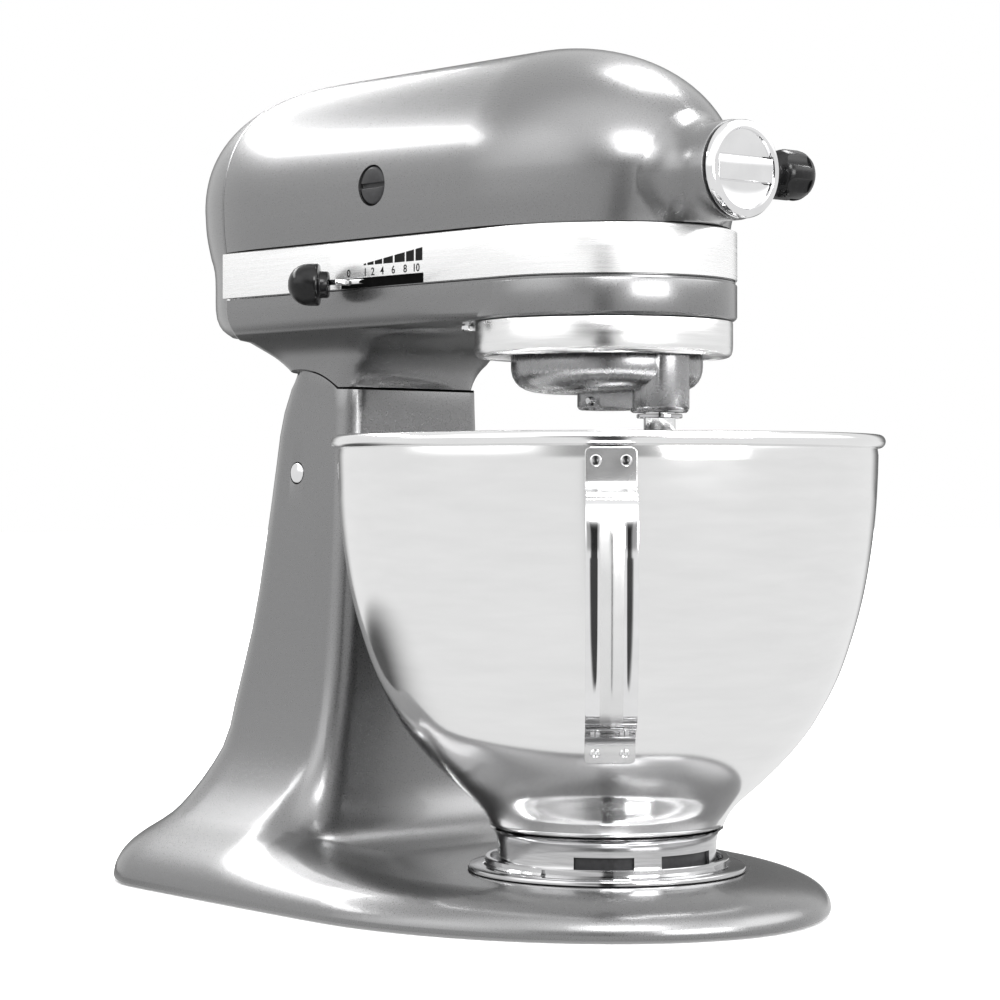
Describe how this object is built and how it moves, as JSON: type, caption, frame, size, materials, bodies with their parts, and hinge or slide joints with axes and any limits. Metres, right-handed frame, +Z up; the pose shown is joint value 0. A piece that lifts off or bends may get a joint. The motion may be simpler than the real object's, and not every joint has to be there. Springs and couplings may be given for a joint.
{
  "type": "stand mixer",
  "caption": "Tilt-head stand mixer with a polished steel bowl with a strap handle, planetary drive, attachment hub and speed lever.",
  "frame": {"origin": "middle of the mixer's plan, on the table its feet stand on", "axes": "+X towards the mixer's right side seen from the front, -Y the front with the attachment hub, +Z up"},
  "size_m": [0.225, 0.3524, 0.352],
  "materials": {
    "silver_paint": "satin metallic",
    "polished_steel": "polished",
    "bright_chrome": "mirror polished",
    "satin_trim": "satin",
    "planetary_alloy": "satin",
    "machined_steel": "machined",
    "gear_iron": "machined",
    "brass": "machined",
    "copper_winding": "bare",
    "black_plastic": "moulded gloss",
    "carbon": "matte",
    "nylon": "moulded",
    "rubber": "matte"
  },
  "bodies": {
    "stand": {"pedestal_base": "silver_paint", "bowl_clamp_plate": "polished_steel", "clamp_screw_1": "machined_steel", "clamp_screw_2": "machined_steel", "clamp_screw_3": "machined_steel", "foot_1": "rubber", "foot_2": "rubber", "foot_3": "rubber", "foot_4": "rubber", "foot_5": "rubber", "hinge_pin": "bright_chrome"},
    "head": {"upper_housing": "silver_paint", "lower_gearcase": "silver_paint", "rear_cover": "silver_paint", "rear_cover_screw": "machined_steel", "trim_band": "satin_trim", "drip_ring": "satin_trim", "internal_ring_gear": "gear_iron", "motor_stator": "gear_iron", "rear_bearing": "planetary_alloy", "gearbox_bracket": "planetary_alloy", "speed_control_plate": "nylon", "brush_holder_left": "brass", "brush_holder_right": "brass", "brush_left": "carbon", "brush_right": "carbon", "brush_cap_left": "black_plastic", "brush_cap_right": "black_plastic", "cord_grommet": "rubber", "case_screw_left": "machined_steel", "case_screw_right": "machined_steel"},
    "armature": {"armature_shaft": "machined_steel", "armature_core": "copper_winding", "commutator": "copper_winding", "cooling_fan": "nylon"},
    "worm_gear": {"worm_wheel": "brass", "wheel_pinion_shaft": "machined_steel"},
    "planetary": {"planetary_housing": "planetary_alloy", "centre_shaft": "machined_steel", "centre_gear": "gear_iron", "centre_bevel_gear": "machined_steel", "planetary_pin": "machined_steel"},
    "agitator": {"agitator_shaft": "machined_steel", "agitator_pinion": "gear_iron", "agitator_cross_pin": "machined_steel", "agitator_washer": "machined_steel"},
    "hub_drive": {"hub_drive_shaft": "machined_steel", "hub_bevel_gear": "machined_steel"},
    "hub_cap": {"hub_cap": "bright_chrome"},
    "attachment_knob": {"attachment_knob": "black_plastic", "attachment_stem": "machined_steel"},
    "speed_lever": {"speed_lever_arm": "bright_chrome", "speed_lever_knob": "black_plastic"},
    "lock_lever": {"lock_lever_arm": "machined_steel", "lock_lever_knob": "black_plastic"},
    "bowl": {"bowl_shell": "polished_steel", "bowl_foot_ring": "polished_steel", "bowl_handle": "polished_steel"}
  },
  "joints": [
    {"name": "head_tilt", "type": "hinge", "parent": "stand", "child": "head", "pos_m": [0, 0.09025, 0.178], "axis": [-1, 0, 0], "range_deg": [0, 45]},
    {"name": "motor_spin", "type": "hinge", "parent": "head", "child": "armature", "pos_m": [0, 0.03625, 0.297], "axis": [0, 1, 0], "continuous": true},
    {"name": "worm_gear_spin", "type": "hinge", "parent": "head", "child": "worm_gear", "pos_m": [0.022, -0.03185, 0.297], "axis": [0, 0, 1], "continuous": true},
    {"name": "planetary_spin", "type": "hinge", "parent": "head", "child": "planetary", "pos_m": [0, -0.06375, 0.226], "axis": [0, 0, 1], "continuous": true},
    {"name": "agitator_spin", "type": "hinge", "parent": "planetary", "child": "agitator", "pos_m": [0.006, -0.08802, 0.226], "axis": [0, 0, 1], "continuous": true},
    {"name": "hub_drive_spin", "type": "hinge", "parent": "head", "child": "hub_drive", "pos_m": [0, -0.10375, 0.295], "axis": [0, 1, 0], "continuous": true},
    {"name": "hub_cap_pull", "type": "slide", "parent": "head", "child": "hub_cap", "axis": [0, -1, 0], "range_m": [0, 0.03]},
    {"name": "attachment_knob_turn", "type": "hinge", "parent": "head", "child": "attachment_knob", "pos_m": [0.03, -0.12575, 0.2966], "axis": [1, 0, 0], "range_deg": [0, 330]},
    {"name": "speed_lever_slide", "type": "slide", "parent": "head", "child": "speed_lever", "axis": [0, -1, 0], "range_m": [0, 0.0433]},
    {"name": "lock_lever_slide", "type": "slide", "parent": "stand", "child": "lock_lever", "axis": [0, -1, 0], "range_m": [0, 0.0125]},
    {"name": "bowl_twist", "type": "hinge", "parent": "stand", "child": "bowl", "pos_m": [0, -0.06375, 0.0188], "axis": [0, 0, 1], "range_deg": [0, 30]}
  ],
  "couplings": [
    {"joint": "worm_gear_spin", "follows": "motor_spin", "ratio": -0.076923},
    {"joint": "planetary_spin", "follows": "motor_spin", "ratio": 0.022436},
    {"joint": "agitator_spin", "follows": "motor_spin", "ratio": -0.086538},
    {"joint": "hub_drive_spin", "follows": "motor_spin", "ratio": -0.022436}
  ]
}
